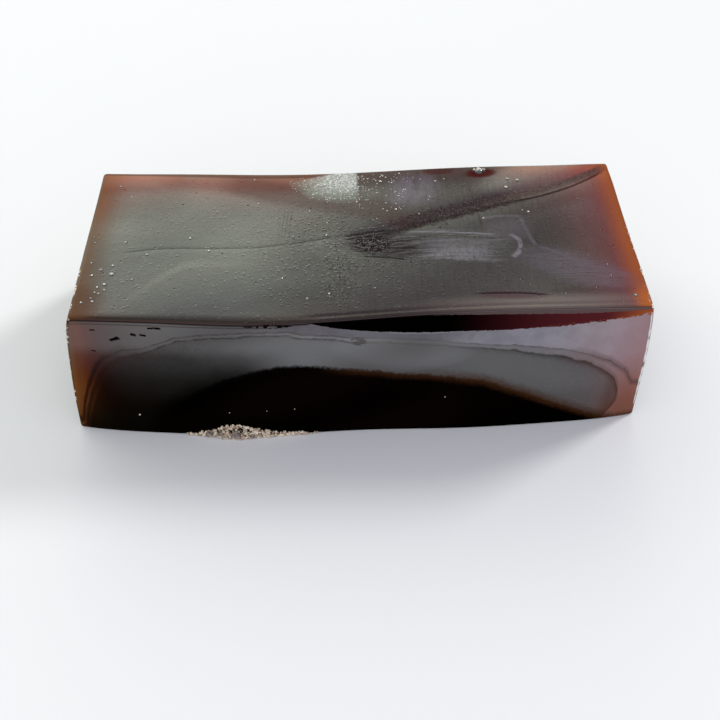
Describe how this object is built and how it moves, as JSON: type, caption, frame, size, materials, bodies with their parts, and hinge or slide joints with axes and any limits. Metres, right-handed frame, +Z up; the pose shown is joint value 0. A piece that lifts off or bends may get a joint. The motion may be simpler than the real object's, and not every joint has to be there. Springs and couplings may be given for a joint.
{
  "type": "coffee jelly",
  "caption": "Dark brown coffee jelly turned out of a carton as one long soft block, with a sagging top, a fold across it and faces that lean out to the foot.",
  "frame": {"origin": "centre of the block's box, on the surface that it rests on", "axes": "+X along the block's long side, +Z up, and the long face with the upright facet under its top edge looks along -Y"},
  "size_m": [0.2028, 0.0908, 0.056],
  "materials": {
    "jelly": "wet gloss over a dark, slightly cloudy coffee jelly that glows red-brown where it is thin"
  },
  "bodies": {
    "root": {"jelly_block": "jelly"}
  },
  "joints": []
}
